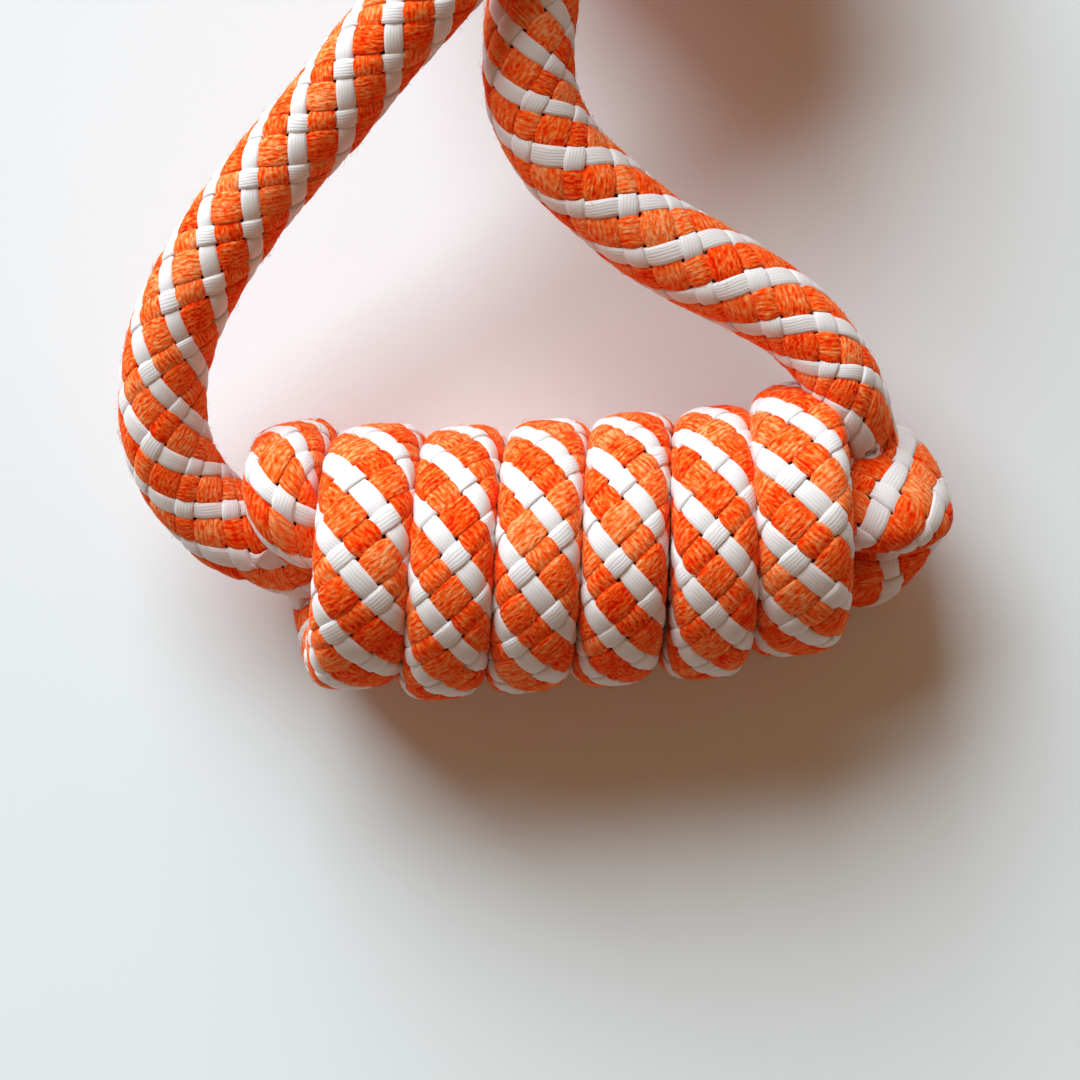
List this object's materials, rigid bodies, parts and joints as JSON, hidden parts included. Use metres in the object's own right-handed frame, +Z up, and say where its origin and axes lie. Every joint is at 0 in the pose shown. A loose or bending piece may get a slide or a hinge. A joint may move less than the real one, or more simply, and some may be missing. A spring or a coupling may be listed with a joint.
{
  "type": "rope dog toy",
  "caption": "Pet tug toy of one thick two-colour braided cotton rope, wound into a barrel-knot grip, with two free legs that run to a ball knot; one side forms a hand loop.",
  "frame": {"origin": "middle of the toy's outline, on the table that it lies on", "axes": "+Z up from the table, +Y from the wound grip to the ball knot, +X along the grip to its right end as seen from above"},
  "size_m": [0.1372, 0.199, 0.073],
  "materials": {
    "braided_cotton": "orange cotton and white shiny yarn, braided in slanting bands",
    "core_rubber": "plain dark rubber, out of sight"
  },
  "bodies": {
    "root": {"grip_winding": "braided_cotton", "rope_leg_left": "braided_cotton", "rope_leg_right": "braided_cotton", "grip_core_strand_left_leg": "braided_cotton", "grip_core_strand_right_leg": "braided_cotton", "ball_passes_inner": "braided_cotton", "ball_passes_middle": "braided_cotton", "ball_passes_outer": "braided_cotton", "ball_core": "core_rubber"}
  },
  "joints": []
}
